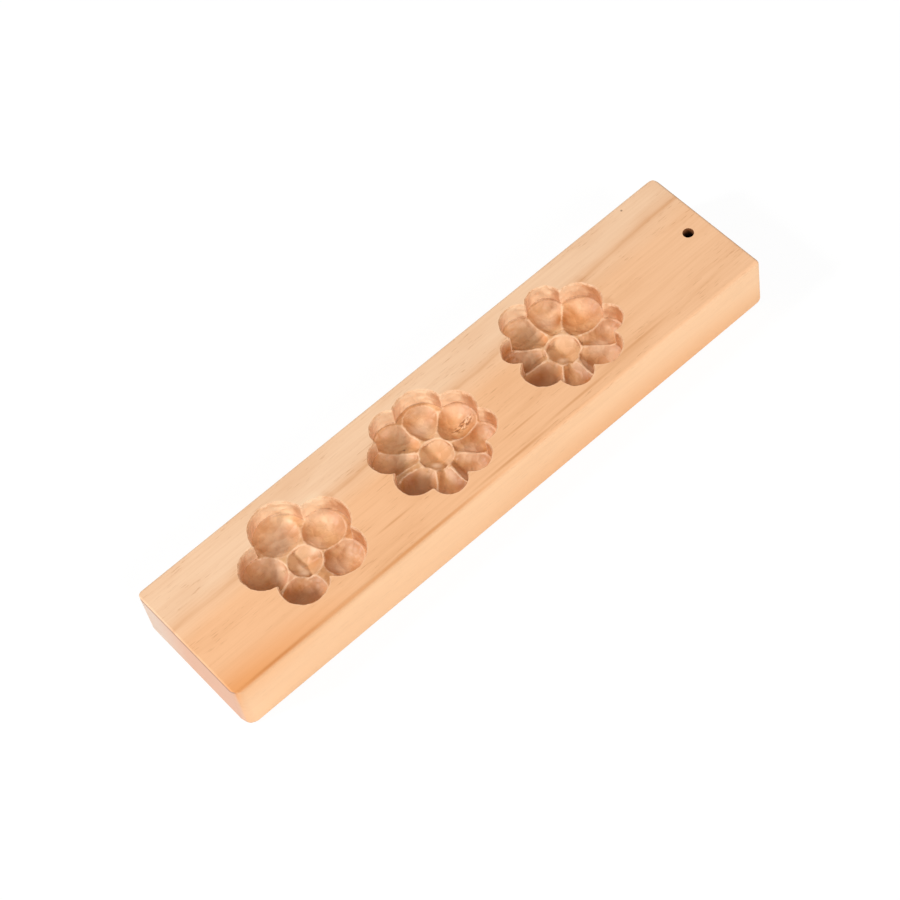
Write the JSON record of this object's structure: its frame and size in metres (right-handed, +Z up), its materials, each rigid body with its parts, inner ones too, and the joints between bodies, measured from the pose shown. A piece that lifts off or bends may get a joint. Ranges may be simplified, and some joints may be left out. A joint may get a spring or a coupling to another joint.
{
  "type": "wooden pastry mold",
  "caption": "Long wooden board with flower-shaped pockets carved in its top face, for pressing pastry or mooncake dough, and a drilled hanging hole near one end.",
  "frame": {"origin": "middle of the underside that the board lies on", "axes": "+X along the board towards the end with the hanging hole, +Y across the board, +Z up out of the pockets"},
  "size_m": [0.29, 0.0654, 0.03],
  "materials": {
    "wood": "planed and hand carved, bare"
  },
  "bodies": {
    "root": {"mold_board": "wood"}
  },
  "joints": []
}
